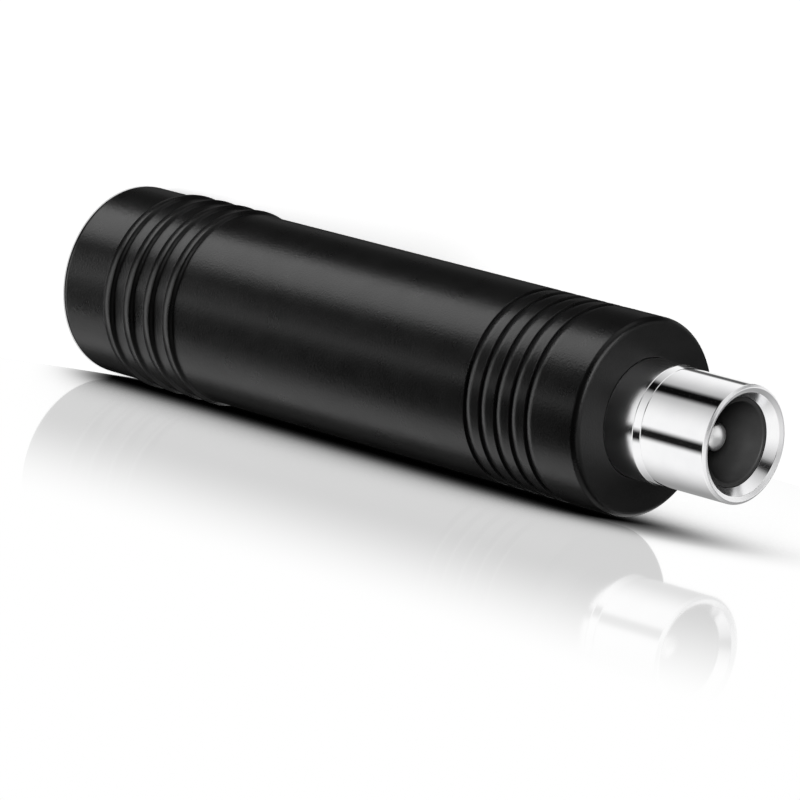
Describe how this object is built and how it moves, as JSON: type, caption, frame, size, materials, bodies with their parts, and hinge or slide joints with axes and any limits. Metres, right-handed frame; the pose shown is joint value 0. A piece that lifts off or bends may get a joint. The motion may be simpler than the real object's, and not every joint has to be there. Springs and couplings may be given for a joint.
{
  "type": "dc barrel adapter",
  "caption": "Inline DC power adapter: a ribbed black moulded barrel with a round jack in one end and a chromed barrel plug with a centre pin on the other.",
  "frame": {"origin": "centre of the flat jack end, which the adapter stands on", "axes": "+Z along the axis, from the jack end to the mouth of the plug; +X towards the side that holds the jack's leaf contact"},
  "size_m": [0.0114, 0.0114, 0.0479],
  "materials": {
    "jacket": "satin black moulded PVC with a fine grain",
    "plug_plating": "polished plating on turned brass",
    "liner_plastic": "black, slightly glossy",
    "pin_plating": "bright nickel plating",
    "tinned_brass": "tinned",
    "jack_plastic": "satin black",
    "spring_bronze": "nickel-plated phosphor bronze",
    "copper": "tinned copper strand",
    "red_insulation": "satin",
    "black_insulation": "satin",
    "solder": "dull bright",
    "shrink_tube": "matt",
    "mould_plastic": "natural, translucent white"
  },
  "bodies": {
    "root": {"outer_body": "jacket", "plug_sleeve": "plug_plating", "plug_liner": "liner_plastic", "plug_pin": "pin_plating", "plug_lug": "tinned_brass", "jack_housing": "jack_plastic", "jack_base": "jack_plastic", "jack_pin": "pin_plating", "jack_spring": "spring_bronze", "lead_positive_core": "copper", "lead_positive_insulation": "red_insulation", "lead_negative_core": "copper", "lead_negative_insulation": "black_insulation", "solder_jack_pin": "solder", "solder_jack_spring": "solder", "solder_plug_pin": "solder", "solder_plug_lug": "solder", "shrink_jack": "shrink_tube", "shrink_plug": "shrink_tube", "inner_mould": "mould_plastic"}
  },
  "joints": []
}
